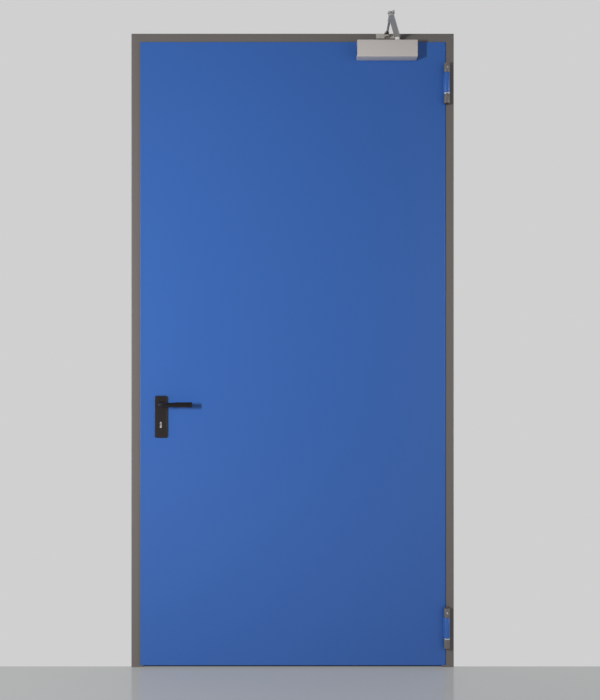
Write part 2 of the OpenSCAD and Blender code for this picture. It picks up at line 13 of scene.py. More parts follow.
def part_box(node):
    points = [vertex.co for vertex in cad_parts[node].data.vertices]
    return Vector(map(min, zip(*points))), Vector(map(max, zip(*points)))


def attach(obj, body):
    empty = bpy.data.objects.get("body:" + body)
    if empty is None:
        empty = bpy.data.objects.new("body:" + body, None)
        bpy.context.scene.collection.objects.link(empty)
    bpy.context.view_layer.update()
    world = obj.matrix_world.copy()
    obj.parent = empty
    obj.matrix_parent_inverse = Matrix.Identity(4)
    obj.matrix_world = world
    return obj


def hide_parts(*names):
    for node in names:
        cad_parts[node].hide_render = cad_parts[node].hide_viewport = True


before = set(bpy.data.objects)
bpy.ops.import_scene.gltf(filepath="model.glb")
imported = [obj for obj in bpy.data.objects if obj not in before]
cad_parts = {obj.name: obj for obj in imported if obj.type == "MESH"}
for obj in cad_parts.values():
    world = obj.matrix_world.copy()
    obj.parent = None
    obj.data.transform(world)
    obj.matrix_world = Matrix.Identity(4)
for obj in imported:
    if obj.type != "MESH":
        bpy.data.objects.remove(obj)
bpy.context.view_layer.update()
MM = 0.001

# The view and the light.
# A level camera stands three metres in front of the door. A lamp from the left draws the clear shadows and one from
# the right fills them; the room looks pale but lights the door less from before it; two side strips only glint.
FACE_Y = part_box("hinge_jamb")[0].y
DOOR_X = (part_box("lock_jamb")[0].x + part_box("hinge_jamb")[1].x) / 2
CAMERA_OUT = 3.0
CAMERA_RIGHT = 25.5 * MM
CAMERA_HEIGHT = 1.091
CAMERA_LENS = 44.85
ROOM_BEFORE = 0.28
KEY_WATTS = 76
FILL_WATTS = 22
STRIP_WATTS = 60


def srgb(code):
    """An sRGB hex colour as linear red, green, blue and alpha."""
    parts = [int(code[i:i + 2], 16) / 255 for i in (1, 3, 5)]
    return [c / 12.92 if c <= 0.04045 else ((c + 0.055) / 1.055) ** 2.4 for c in parts] + [1]


def add_node(tree, kind, settings=None, **links):
    """A shader node with its settings, and its inputs set to a value or linked to another node's output."""
    made = tree.nodes.new(kind)
    for name, value in (settings or {}).items():
        setattr(made, name, value)
    for name, value in links.items():
        socket = made.inputs[name.replace("_", " ")]
        if isinstance(value, bpy.types.NodeSocket):
            tree.links.new(value, socket)
        else:
            socket.default_value = value
    return made


camera = bpy.data.objects.new("camera", bpy.data.cameras.new("camera"))
camera.location = (DOOR_X + CAMERA_RIGHT, FACE_Y - CAMERA_OUT, CAMERA_HEIGHT)
camera.rotation_euler = (math.radians(90), 0, 0)
camera.data.lens = CAMERA_LENS
camera.data.sensor_width = 36
bpy.context.scene.collection.objects.link(camera)
bpy.context.scene.camera = camera
bpy.context.scene.view_settings.view_transform = "Standard"

world = bpy.data.worlds.new("pale room")
world.use_nodes = True
sky = world.node_tree.nodes["Background"]
sky.inputs["Color"].default_value = srgb("#d0d0d0")
direction = add_node(world.node_tree, "ShaderNodeSeparateXYZ",
                     Vector=world.node_tree.nodes.new("ShaderNodeTexCoord").outputs["Generated"])
dimmed = add_node(world.node_tree, "ShaderNodeMapRange", Value=direction.outputs["Y"],
                  From_Min=-0.35, From_Max=0.35, To_Min=ROOM_BEFORE, To_Max=1.0)
seen = add_node(world.node_tree, "ShaderNodeMath", {"operation": "MAXIMUM"})
world.node_tree.links.new(world.node_tree.nodes.new("ShaderNodeLightPath").outputs["Is Camera Ray"], seen.inputs[0])
world.node_tree.links.new(dimmed.outputs["Result"], seen.inputs[1])
world.node_tree.links.new(seen.outputs["Value"], sky.inputs["Strength"])
bpy.context.scene.world = world


def area_light(name, place, target, width, height, watts, colour, only_glints=False):
    """A rectangular soft light, aimed at target: either it lights without being mirrored, or it only glints."""
    lamp = bpy.data.lights.new(name, "AREA")
    lamp.shape = "RECTANGLE"
    lamp.size, lamp.size_y, lamp.energy, lamp.color = width, height, watts, srgb(colour)[:3]
    made = bpy.data.objects.new(name, lamp)
    made.location = place
    made.rotation_euler = (Vector(target) - Vector(place)).to_track_quat("-Z", "Y").to_euler()
    bpy.context.scene.collection.objects.link(made)
    made.visible_camera = False
    made.visible_glossy = only_glints
    made.visible_diffuse = not only_glints
    return made


area_light("key from the left", (DOOR_X - 1.65, -2.65, 1.3), (DOOR_X, 0, 1.1), 0.12, 0.55, KEY_WATTS,
           "#fffcf8")
area_light("fill from the right", (DOOR_X + 2.4, -2.2, 1.1), (DOOR_X, 0, 1.0), 2.6, 2.6, FILL_WATTS,
           "#fbfbff")
strips = [area_light(f"edge strip {side}", (DOOR_X + 3.0 * side, -0.9, 1.3), (DOOR_X, 0, 1.3),
                     0.7, 2.4, STRIP_WATTS, "#ffffff", only_glints=True) for side in (-1, 1)]

# The floor in front of the door.
# Pale polished screed that ends at the wall's plane. Its thin coat mirrors the leaf faintly, as in the photo.
# A faint glow of its own evens out the shade at the door's foot, and the side strips skip it, to leave no glare.
FLOOR_BACK = -5 * MM
FLOOR_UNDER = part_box("lock_jamb")[1].y
FLOOR_REACH = 3.4
FLOOR_GLOW = 0.25


def new_material(name, colour, roughness, metallic=0.0, **sockets):
    """A principled material, with its colour as sRGB hex, and its tree, shader and object-space coordinates."""
    made = bpy.data.materials.new(name)
    made.use_nodes = True
    tree = made.node_tree
    shader = tree.nodes["Principled BSDF"]
    shader.inputs["Base Color"].default_value = srgb(colour)
    shader.inputs["Roughness"].default_value = roughness
    shader.inputs["Metallic"].default_value = metallic
    for socket, value in sockets.items():
        shader.inputs[socket.replace("_", " ")].default_value = value
    coordinates = tree.nodes.new("ShaderNodeTexCoord").outputs["Object"]
    return made, tree, shader, coordinates


def per_mm(size):
    """The scale of a procedural pattern whose features are about this many millimetres across."""
    return 1 / (size * MM)


def floor_screed():
    """Polished pale screed: faintly cloudy under a thin mirroring coat, with a faint glow in place of bounced light."""
    made, tree, shader, place = new_material("polished screed", "#8a8a8a", 0.12, Specular_IOR_Level=0.5)
    shader.inputs["Emission Color"].default_value = srgb("#dadedf")
    shader.inputs["Emission Strength"].default_value = FLOOR_GLOW
    cloud = add_node(tree, "ShaderNodeTexNoise", Vector=place, Scale=per_mm(400), Detail=4.0)
    ramp = add_node(tree, "ShaderNodeValToRGB", Fac=cloud.outputs["Fac"])
    ramp.color_ramp.elements[0].color = srgb("#878787")
    ramp.color_ramp.elements[1].color = srgb("#8d8d8d")
    tree.links.new(ramp.outputs["Color"], shader.inputs["Base Color"])
    return made


def mesh_piece(name, points, faces, material, body=None, stands_for=(), slot=None):
    """A mesh object from points and faces, with its material, that rides on a body and stands for CAD nodes."""
    mesh = bpy.data.meshes.new(name)
    mesh.from_pydata([tuple(p) for p in points], [], faces)
    mesh.validate()
    made = bpy.data.objects.new(name, mesh)
    bpy.context.scene.collection.objects.link(made)
    made.data.materials.append(material)
    if body:
        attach(made, body)
    if stands_for:
        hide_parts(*stands_for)
    return made


def floor_patch(name, half_width, front, back, material):
    """A flat piece of the stage's floor, centred on the door."""
    corners = [(DOOR_X - half_width, front, 0), (DOOR_X + half_width, front, 0),
               (DOOR_X + half_width, back, 0), (DOOR_X - half_width, back, 0)]
    patch = mesh_piece(name, corners, [(0, 1, 2, 3)], material)
    return patch


floor = floor_patch("floor", FLOOR_REACH, -FLOOR_REACH, FLOOR_BACK, floor_screed())
unlit_by_strips = bpy.data.collections.new("unlit by strips")
for strip in strips:
    strip.light_linking.receiver_collection = unlit_by_strips


def keep_strips_off(obj):
    """Keeps the two strips from glinting on an object."""
    unlit_by_strips.objects.link(obj)
    unlit_by_strips.collection_objects[-1].light_linking.link_state = "EXCLUDE"


keep_strips_off(floor)
# Under the door the floor goes on in a darker matt grey: painted shade for the dark gap beneath the leaf.
floor_patch("floor_under_door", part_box("hinge_jamb")[1].x - DOOR_X, FLOOR_BACK, FLOOR_UNDER,
            new_material("matt screed darkened as painted shade", "#6a6a6a", 0.9)[0])

# The frame's two jambs and head.
# Two-millimetre sheet steel, pressed to one section, mitred and welded at the top corners and powder coated grey.
# The section turns from the wall flange round the face, the rebate, the stop and the soffit to the back return.
FRAME_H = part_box("hinge_jamb")[1].z
FRAME_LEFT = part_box("lock_jamb")[0].x
FRAME_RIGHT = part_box("hinge_jamb")[1].x
FRAME_T = 2 * MM
FLANGE_W = 10 * MM
FACE_W = 43 * MM
SOFFIT_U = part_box("lock_jamb")[1].x - FRAME_LEFT
STOP_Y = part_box("head_seal")[1].y
FRAME_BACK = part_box("lock_jamb")[1].y
REVEAL_LAP = 30 * MM
BEND_R = 1.5 * MM
BEND_STEPS = 5


def folded_outline(path, thick, inner_r, steps):
    """The closed outline of sheet bent along a middle line, with round bends of that inside radius."""
    left, right = [], []
    for i, corner in enumerate(path):
        corner = Vector(corner)
        before = (corner - Vector(path[i - 1])).normalized() if i else None
        after = (Vector(path[i + 1]) - corner).normalized() if i < len(path) - 1 else None
        if before is None or after is None:
            way = after or before
            side = Vector((-way.y, way.x)) * thick / 2
            left.append(corner + side)
            right.append(corner - side)
            continue
        turn = before.x * after.y - before.y * after.x
        sign = 1 if turn > 0 else -1
        middle_r = inner_r + thick / 2
        inward = (after - before).normalized()
        half = math.acos(max(-1, min(1, before.dot(after)))) / 2
        centre = corner + inward * middle_r / math.cos(half)
        start = Vector((before.y, -before.x)) * sign
        for step in range(steps + 1):
            angle = sign * 2 * half * step / steps
            out = Vector((start.x * math.cos(angle) - start.y * math.sin(angle),
                          start.x * math.sin(angle) + start.y * math.cos(angle)))
            outer, inner = centre + out * (inner_r + thick), centre + out * inner_r
            left.append(inner if sign > 0 else outer)
            right.append(outer if sign > 0 else inner)
    return left + right[::-1]


def sweep(outline, start, end):
    """Points and faces of an outline carried from start(p) to end(p), with both ends closed."""
    count = len(outline)
    points = [start(p) for p in outline] + [end(p) for p in outline]
    faces = [(i, (i + 1) % count, (i + 1) % count + count, i + count) for i in range(count)]
    return points, faces + [tuple(range(count))[::-1], tuple(range(count, 2 * count))]


def powder_coat(name, colour, roughness, peel=0.06, drift=0.02):
    """Baked powder coat: one colour that drifts a touch, and an orange peel of fine dimples under a satin gloss."""
    made, tree, shader, place = new_material(name, colour, roughness, IOR=1.5)
    wide = add_node(tree, "ShaderNodeTexNoise", Vector=place, Scale=per_mm(260), Detail=2.0)
    shade = add_node(tree, "ShaderNodeMapRange", Value=wide.outputs["Fac"], To_Min=1 - drift, To_Max=1 + drift)
    tint = add_node(tree, "ShaderNodeVectorMath", {"operation": "SCALE"}, Scale=shade.outputs["Result"])
    tint.inputs[0].default_value = srgb(colour)[:3]
    tree.links.new(tint.outputs["Vector"], shader.inputs["Base Color"])
    dimples = add_node(tree, "ShaderNodeTexNoise", Vector=place, Scale=per_mm(1.6), Detail=2.0)
    bump = add_node(tree, "ShaderNodeBump", Height=dimples.outputs["Fac"], Strength=peel, Distance=0.4 * MM)
    tree.links.new(bump.outputs["Normal"], shader.inputs["Normal"])
    return made


def smooth_by_angle(obj, degrees=35):
    """Shades curved faces smooth and keeps edges sharper than this angle crisp."""
    bpy.context.view_layer.objects.active = obj
    for other in bpy.context.selected_objects:
        other.select_set(False)
    obj.select_set(True)
    bpy.ops.object.shade_smooth_by_angle(angle=math.radians(degrees))
    obj.select_set(False)


section = folded_outline([
    (FLANGE_W, -FRAME_T / 2), (FRAME_T / 2, -FRAME_T / 2), (FRAME_T / 2, FACE_Y + FRAME_T / 2),
    (FACE_W - FRAME_T / 2, FACE_Y + FRAME_T / 2), (FACE_W - FRAME_T / 2, STOP_Y + FRAME_T / 2),
    (SOFFIT_U - FRAME_T / 2, STOP_Y + FRAME_T / 2), (SOFFIT_U - FRAME_T / 2, FRAME_BACK - FRAME_T / 2),
    (REVEAL_LAP, FRAME_BACK - FRAME_T / 2)], FRAME_T, BEND_R, BEND_STEPS)
frame_paint = powder_coat("grey powder coat", "#6b6765", 0.42)


def cut_out(obj, low, high):
    """Takes a box out of a mesh object."""
    points = [(x, y, z) for x in (low[0], high[0]) for y in (low[1], high[1]) for z in (low[2], high[2])]
    faces = [(0, 1, 3, 2), (4, 6, 7, 5), (0, 4, 5, 1), (2, 3, 7, 6), (0, 2, 6, 4), (1, 5, 7, 3)]
    cutter = mesh_piece("cutter", points, faces, obj.data.materials[0])
    hole = obj.modifiers.new("hole", "BOOLEAN")
    hole.object, hole.operation, hole.solver = cutter, "DIFFERENCE", "EXACT"
    bpy.context.view_layer.update()
    shape = bpy.data.meshes.new_from_object(obj.evaluated_get(bpy.context.evaluated_depsgraph_get()))
    obj.modifiers.remove(hole)
    obj.data = shape
    bpy.data.objects.remove(cutter)


def frame_member(name, start, end, stands_for, holes=()):
    """One member of the frame, swept between two cuts, with its holes."""
    made = mesh_piece(name, *sweep(section, start, end), frame_paint, "frame", (stands_for,), "frame_paint")
    for low, high in holes:
        cut_out(made, low, high)
    smooth_by_angle(made)
    return made


latch_low, latch_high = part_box("latch_bolt")
bolt_low, bolt_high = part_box("dead_bolt")
STRIKE_SIDE = 4 * MM
STRIKE_END = 5 * MM
strike_holes = [
    ((FRAME_LEFT + FACE_W - 2 * FRAME_T, low.y - STRIKE_SIDE, low.z - STRIKE_END),
     (FRAME_LEFT + FACE_W + FRAME_T, high.y + STRIKE_SIDE, high.z + STRIKE_END))
    for low, high in ((latch_low, latch_high), (bolt_low, bolt_high))]

frame_member("hinge_jamb_section", lambda p: (FRAME_RIGHT - p[0], p[1], 0),
             lambda p: (FRAME_RIGHT - p[0], p[1], FRAME_H - p[0]), "hinge_jamb")
frame_member("lock_jamb_section", lambda p: (FRAME_LEFT + p[0], p[1], 0),
             lambda p: (FRAME_LEFT + p[0], p[1], FRAME_H - p[0]), "lock_jamb", strike_holes)
frame_member("head_section", lambda p: (FRAME_LEFT + p[0], p[1], FRAME_H - p[0]),
             lambda p: (FRAME_RIGHT - p[0], p[1], FRAME_H - p[0]), "frame_head")

# The leaf's front sheet.
# Steel sheet hemmed into a flat lip that laps over the frame, powder coated blue.
# Its edges are rolled, so the left one catches the light and the right one falls dark.
leaf_low, leaf_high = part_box("leaf_front_sheet")
HEM_EDGE_R = 1.9 * MM


def rolled_box(name, low, high, radius, material, body, stands_for, steps=4):
    """A box with every edge rolled to one radius."""
    shape = bmesh.new()
    bmesh.ops.create_cube(shape, size=1)
    size, middle = Vector(high) - Vector(low), (Vector(high) + Vector(low)) / 2
    for v in shape.verts:
        v.co = Vector(c * s for c, s in zip(v.co, size)) + middle
    bmesh.ops.bevel(shape, geom=shape.edges[:], offset=radius, segments=steps, profile=0.5, affect="EDGES")
    mesh = bpy.data.meshes.new(name)
    shape.to_mesh(mesh)
    shape.free()
    made = bpy.data.objects.new(name, mesh)
    bpy.context.scene.collection.objects.link(made)
    mesh.materials.append(material)
    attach(made, body)
    if stands_for:
        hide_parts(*stands_for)
    smooth_by_angle(made, 50)
    return made


leaf_paint = powder_coat("blue powder coat", "#3562ad", 0.36, peel=0.05, drift=0.012)
front_sheet = rolled_box("front_sheet", leaf_low, leaf_high, HEM_EDGE_R, leaf_paint, "leaf", ("leaf_front_sheet",))

# The leaf's back sheet.
# A tray of the same blue steel, folded round the core and set into the front sheet's hem, which leaves a groove.
# Its lock edge is slotted for the forend.
tray_low, tray_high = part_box("leaf_back_sheet")
TRAY_R = 2.5 * MM
forend_low, forend_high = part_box("lock_forend")
tray = rolled_box("back_tray", tray_low, tray_high, TRAY_R, leaf_paint, "leaf", ("leaf_back_sheet",))
cut_out(tray, (tray_low.x - TRAY_R, forend_low.y, forend_low.z), forend_high)
HEM_GAP = 2.5 * MM
HEM_DEEP = 1.2 * MM
groove_front, groove_back = leaf_high.y - HEM_DEEP, leaf_high.y + HEM_DEEP
for low_x, low_z, high_x, high_z in (
        (tray_low.x - HEM_GAP, tray_low.z - HEM_GAP, tray_low.x, tray_high.z + HEM_GAP),
        (tray_high.x, tray_low.z - HEM_GAP, tray_high.x + HEM_GAP, tray_high.z + HEM_GAP),
        (tray_low.x, tray_high.z, tray_high.x, tray_high.z + HEM_GAP)):
    cut_out(front_sheet, (low_x, groove_front, low_z), (high_x, groove_back, high_z))
smooth_by_angle(front_sheet, 50)

# The core and the hidden steel.
# Mineral wool fills the leaf, with the lock's steel case let into it.
# Galvanised anchors and strike boxes are fixed behind the frame.


def ease_edges(obj, edge):
    """Rounds the sharp edges of an object by this radius."""
    ease = obj.modifiers.new("eased edges", "BEVEL")
    ease.width, ease.segments, ease.limit_method, ease.angle_limit = edge, 2, "ANGLE", math.radians(40)


def finish_cad(node, material, edge=0.0):
    """Shows a CAD node as it is, in a material, with its edges eased."""
    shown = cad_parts[node]
    shown.data.materials.clear()
    shown.data.materials.append(material)
    if edge:
        ease_edges(shown, edge)


def mineral_wool():
    """Mineral wool slab: matted fibres in a dull yellow brown, with no gloss at all."""
    made, tree, shader, place = new_material("mineral wool", "#a89c78", 0.95)
    fibres = add_node(tree, "ShaderNodeTexNoise", Vector=place, Scale=per_mm(3), Detail=6.0, Distortion=1.5)
    bump = add_node(tree, "ShaderNodeBump", Height=fibres.outputs["Fac"], Strength=0.6, Distance=2 * MM)
    tree.links.new(bump.outputs["Normal"], shader.inputs["Normal"])
    return made


def galvanised():
    """Galvanised steel: dull zinc crystals a few millimetres across, each with its own gloss."""
    made, tree, shader, place = new_material("galvanised steel", "#b8b9b7", 0.45, 0.6)
    crystals = add_node(tree, "ShaderNodeTexVoronoi", Vector=place, Scale=per_mm(5))
    gloss = add_node(tree, "ShaderNodeMapRange", Value=crystals.outputs["Color"], To_Min=0.34, To_Max=0.56)
    tree.links.new(gloss.outputs["Result"], shader.inputs["Roughness"])
    return made


zinc = galvanised()
finish_cad("leaf_core", mineral_wool())
for node in ("hinge_jamb_anchors", "lock_jamb_anchors", "strike_boxes", "lock_case"):
    finish_cad(node, zinc)

# The seals on the stop.
# Black rubber strips with a round bulb on a flat foot, pressed on along both jambs and the head and mitred.
# The leaf's back closes against the bulb.
seal_low, seal_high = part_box("lock_jamb_seal")
SEAL_W = seal_high.x - seal_low.x
SEAL_H = seal_high.y - seal_low.y
SEAL_U = seal_low.x - FRAME_LEFT
SEAL_STEPS = 10
SEAL_FOOT = 0.3


def seal_rubber():
    """Black seal rubber: nearly black, matt, with a soft sheen where it bends."""
    made, tree, shader, place = new_material("seal rubber", "#1d1d1e", 0.6)
    grain = add_node(tree, "ShaderNodeTexNoise", Vector=place, Scale=per_mm(0.8), Detail=2.0)
    bump = add_node(tree, "ShaderNodeBump", Height=grain.outputs["Fac"], Strength=0.15, Distance=0.2 * MM)
    tree.links.new(bump.outputs["Normal"], shader.inputs["Normal"])
    return made


def arc(centre, radius, start, end, steps):
    """Points along an arc, its angles in degrees."""
    angles = [math.radians(start + (end - start) * i / steps) for i in range(steps + 1)]
    return [(centre[0] + radius * math.cos(a), centre[1] + radius * math.sin(a)) for a in angles]


rubber = seal_rubber()
bulb_r = SEAL_H / 2
bulb = arc((SEAL_U + SEAL_W / 2, STOP_Y - SEAL_H + bulb_r), bulb_r, 0, -180, SEAL_STEPS)
seal_section = [(SEAL_U, STOP_Y), (SEAL_U + SEAL_W, STOP_Y), (SEAL_U + SEAL_W, STOP_Y - SEAL_FOOT * SEAL_H),
                (SEAL_U + SEAL_W / 2 + bulb_r, STOP_Y - bulb_r)] + bulb[1:] + [(SEAL_U, STOP_Y - SEAL_FOOT * SEAL_H)]


def seal_strip(name, start, end, stands_for):
    """One strip of seal, swept between two mitres."""
    made = mesh_piece(name, *sweep(seal_section, start, end), rubber, "frame", (stands_for,), "seal_rubber")
    smooth_by_angle(made)


seal_strip("hinge_seal_strip", lambda p: (FRAME_RIGHT - p[0], p[1], 0),
           lambda p: (FRAME_RIGHT - p[0], p[1], FRAME_H - p[0]), "hinge_jamb_seal")
seal_strip("lock_seal_strip", lambda p: (FRAME_LEFT + p[0], p[1], 0),
           lambda p: (FRAME_LEFT + p[0], p[1], FRAME_H - p[0]), "lock_jamb_seal")
seal_strip("head_seal_strip", lambda p: (FRAME_LEFT + p[0], p[1], FRAME_H - p[0]),
           lambda p: (FRAME_RIGHT - p[0], p[1], FRAME_H - p[0]), "head_seal")

# The caps over the frame's fixings.
# Low grey plastic caps that snap into the holes in the rebate, over the screws.
# They show only when the leaf is open.
SPINDLE = (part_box("lever_spindle")[0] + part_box("lever_spindle")[1]) / 2
anchor_low, anchor_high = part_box("lock_jamb_anchors")
STRAP_HALF = 20 * MM
INNER_DROP = 135 * MM
CAP_R = 8.5 * MM
CAP_PROUD = 1.2 * MM
LATHE_STEPS = 48


def lathe(name, profile, centre, axis, material, body=None, stands_for=(), slot=None, steps=LATHE_STEPS):
    """A turned piece: a profile of (radius, height) spun round an axis through centre."""
    turn = Vector((0, 0, 1)).rotation_difference(Vector(axis)).to_matrix().to_4x4()
    place = Matrix.Translation(centre) @ turn
    points, faces, rings = [], [], []
    for radius, height in profile:
        if radius == 0:
            rings.append([len(points)])
            points.append(place @ Vector((0, 0, height)))
            continue
        rings.append(list(range(len(points), len(points) + steps)))
        points += [place @ Vector((radius * math.cos(a), radius * math.sin(a), height))
                   for a in (2 * math.pi * i / steps for i in range(steps))]
    for low, high in zip(rings, rings[1:]):
        for i in range(steps):
            j = (i + 1) % steps
            corners = [low[i % len(low)], low[j % len(low)], high[j % len(high)], high[i % len(high)]]
            faces.append(tuple(dict.fromkeys(corners)))
    made = mesh_piece(name, points, faces, material, body, stands_for, slot)
    smooth_by_angle(made)
    return made


def rim(radius, height, ease, at_top, steps=3):
    """The points of a turned piece's rounded rim, towards its top or its bottom."""
    middle = height - ease if at_top else height + ease
    turn = arc((radius - ease, middle), ease, 0, 90 if at_top else -90, steps)
    return turn if at_top else turn[::-1]


def turned(bottom, top, radius, ease):
    """The profile of a plain disc or rod with eased rims."""
    return [(0, bottom)] + rim(radius, bottom, ease, False) + rim(radius, top, ease, True) + [(0, top)]


def joined(name, parts):
    """Joins pieces that ride on one body into the first of them."""
    for other in bpy.context.selected_objects:
        other.select_set(False)
    for part in parts:
        part.select_set(True)
    bpy.context.view_layer.objects.active = parts[0]
    bpy.ops.object.join()
    parts[0].name = name
    parts[0].select_set(False)
    return parts[0]


cap_plastic = powder_coat("grey cap plastic", "#66635f", 0.5, peel=0.02)
for side, x, way in (("hinge", FRAME_RIGHT - FACE_W, -1), ("lock", FRAME_LEFT + FACE_W, 1)):
    heights = (anchor_low.z + STRAP_HALF, SPINDLE.z - INNER_DROP,
               FRAME_H - SPINDLE.z + INNER_DROP, anchor_high.z - STRAP_HALF)
    caps = [lathe(f"{side}_cap_{i}", turned(-FRAME_T, CAP_PROUD, CAP_R, 0.8 * MM),
                  (x, (anchor_low.y + anchor_high.y) / 2, z), (way, 0, 0), cap_plastic)
            for i, z in enumerate(heights)]
    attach(joined(f"{side}_fixing_caps", caps), "frame")

# The two hinges.
# Three steel knuckles on a pin: the outer two are welded to the frame and painted with it, the middle one to the leaf.
# A bright bearing washer sits on the lower knuckle, and a grub screw in the top one holds the pin.
KNUCKLE_EASE = 0.8 * MM
BEAD_R = 2 * MM
BEAD_RIPPLE = 0.3 * MM
BEAD_PITCH = 2.5 * MM
BEAD_END = 0.15
LUG_T = 4.5 * MM
LUG_EDGE = 0.6 * MM
LEAF_WELD_OUT = 0.5 * MM
WASHER_EASE = 0.4 * MM
PIN_HEAD = 3 * MM
GRUB_R = 2.4 * MM
GRUB_L = 1.6 * MM
GRUB_SUNK = 1.2 * MM
GRUB_CHAMFER = 0.3 * MM
GRUB_SOCKET_R = 1.1 * MM
GRUB_SOCKET_FLOOR = 0.4 * MM


def brushed(name, colour, roughness, metallic):
    """Machined steel, bright or blackened: fine streaks that blur its reflections one way."""
    made, tree, shader, place = new_material(name, colour, roughness, metallic)
    stretch = add_node(tree, "ShaderNodeVectorMath", {"operation": "MULTIPLY"})
    tree.links.new(place, stretch.inputs[0])
    stretch.inputs[1].default_value = (1, 1, 0.04)
    streaks = add_node(tree, "ShaderNodeTexNoise", Vector=stretch.outputs["Vector"], Scale=per_mm(0.5), Detail=3.0)
    gloss = add_node(tree, "ShaderNodeMapRange", Value=streaks.outputs["Fac"],
                     To_Min=roughness * 0.75, To_Max=roughness * 1.35)
    tree.links.new(gloss.outputs["Result"], shader.inputs["Roughness"])
    return made


def bead(name, start, end, radius, material, body):
    """A weld bead laid from start to end, rippled along its length and drawn in at both ends."""
    start, end = Vector(start), Vector(end)
    length = (end - start).length
    rings = max(8, int(length / BEAD_PITCH * 4))
    profile = []
    for i in range(rings + 1):
        along = length * i / rings
        swell = radius + BEAD_RIPPLE * math.sin(2 * math.pi * along / BEAD_PITCH)
        profile.append((swell * BEAD_END if i in (0, rings) else swell, along))
    return lathe(name, [(0, 0)] + profile + [(0, length)], start, end - start, material, body, steps=10)


bright = brushed("bright steel", "#dcdcda", 0.3, 0.5)
dark = brushed("blackened steel", "#4a4846", 0.4, 0.7)
for place in ("upper", "lower"):
    frame_low, frame_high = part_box(f"{place}_hinge_frame_knuckles")
    mid_low, mid_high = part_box(f"{place}_hinge_leaf_knuckle")
    pin_low, pin_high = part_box(f"{place}_hinge_pin")
    ring_low, ring_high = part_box(f"{place}_hinge_washer")
    radius = (ring_high.x - ring_low.x) / 2
    centre = Vector(((ring_low.x + ring_high.x) / 2, (ring_low.y + ring_high.y) / 2, 0))
    end_h = ring_low.z - frame_low.z
    knuckles = []
    for i, (low, high) in enumerate(((frame_low.z, ring_low.z), (frame_high.z - end_h, frame_high.z))):
        weld_x = frame_high.x - LUG_T
        knuckles.append(lathe(f"{place}_knuckle_{i}", turned(low, high, radius, KNUCKLE_EASE), centre, (0, 0, 1),
                              frame_paint))
        knuckles.append(rolled_box(f"{place}_lug_{i}", (weld_x, centre.y, low), (frame_high.x, frame_high.y, high),
                                   LUG_EDGE, frame_paint, "frame", ()))
        knuckles.append(bead(f"{place}_weld_{i}", (weld_x, frame_high.y, low + BEAD_R),
                             (weld_x, frame_high.y, high - BEAD_R), BEAD_R, frame_paint, "frame"))
    cage = joined(f"{place}_frame_knuckles", knuckles)
    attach(cage, "frame")
    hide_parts(f"{place}_hinge_frame_knuckles")
    weld_y = leaf_low.y - LEAF_WELD_OUT
    middle = lathe(f"{place}_leaf_barrel", turned(mid_low.z, mid_high.z, radius, KNUCKLE_EASE), centre, (0, 0, 1),
                   leaf_paint, "leaf")
    tongue = rolled_box(f"{place}_tongue", (mid_low.x, centre.y, mid_low.z), (leaf_high.x, leaf_low.y, mid_high.z),
                        LUG_EDGE, leaf_paint, "leaf", ())
    weld = bead(f"{place}_leaf_weld", (mid_low.x, weld_y, mid_low.z + BEAD_R),
                (mid_low.x, weld_y, mid_high.z - BEAD_R), 0.8 * BEAD_R, leaf_paint, "leaf")
    barrel = joined(f"{place}_leaf_knuckle_welded", [middle, tongue, weld])
    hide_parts(f"{place}_hinge_leaf_knuckle")
    lathe(f"{place}_bearing_ring", turned(ring_low.z, ring_high.z, radius, WASHER_EASE), centre, (0, 0, 1), bright,
          "frame", (f"{place}_hinge_washer",), "bright_steel")
    lathe(f"{place}_pin_cap", turned(pin_low.z, pin_low.z + PIN_HEAD, (pin_high.x - pin_low.x) / 2, KNUCKLE_EASE),
          centre, (0, 0, 1), dark, "frame", (f"{place}_hinge_pin",), "dark_steel")
    grub = [(0, 0), (GRUB_R, 0), (GRUB_R, GRUB_L - GRUB_CHAMFER), (GRUB_R - GRUB_CHAMFER, GRUB_L),
            (GRUB_SOCKET_R, GRUB_L), (GRUB_SOCKET_R, GRUB_SOCKET_FLOOR), (0, GRUB_SOCKET_FLOOR)]
    lathe(f"{place}_grub_screw", grub, (centre.x, centre.y - radius + GRUB_SUNK, frame_high.z - end_h / 2),
          (0, -1, 0), bright, "frame")

# The lock in the leaf's edge.
# A zinc-bright forend plate screwed over the mortice lock, with a bevelled latch and a square dead bolt, both drawn in.
# It shows on the leaf's edge when the door is open.
SCREW_R = 4 * MM
SCREW_IN = 12 * MM
LATCH_BEVEL = 1.6 * MM


def screw_head(name, place, axis, radius, body, material):
    """A countersunk screw's head, nearly flush with what it holds."""
    profile = [(0, -0.6 * MM), (radius * 0.82, -0.6 * MM), (radius, 0.15 * MM), (radius * 0.9, 0.25 * MM),
               (0, 0.3 * MM)]
    return lathe(name, profile, place, axis, material, body, steps=24)


rolled_box("forend_plate", forend_low, forend_high, 0.5 * MM, bright, "leaf", ("lock_forend",))
for i, z in enumerate((forend_low.z + SCREW_IN, forend_high.z - SCREW_IN)):
    screw_head(f"forend_screw_{i}", (forend_low.x, (forend_low.y + forend_high.y) / 2, z), (-1, 0, 0), SCREW_R,
               "leaf", bright)


def latch_points(low, high, bevel):
    """A latch whose nose slopes towards the frame it strikes."""
    outline = [(high.x, low.y), (high.x, high.y), (low.x + bevel, high.y), (low.x, low.y)]
    bottom = [(x, y, low.z) for x, y in outline]
    top = [(x, y, high.z) for x, y in outline]
    faces = [(3, 2, 1, 0), (4, 5, 6, 7)] + [(i, (i + 1) % 4, (i + 1) % 4 + 4, i + 4) for i in range(4)]
    return bottom + top, faces


mesh_piece("latch_nose", *latch_points(latch_low, latch_high, LATCH_BEVEL), bright, "leaf", ("latch_bolt",),
           "bright_steel")
rolled_box("dead_bolt_block", bolt_low, bolt_high, 0.4 * MM, bright, "leaf", ("dead_bolt",))

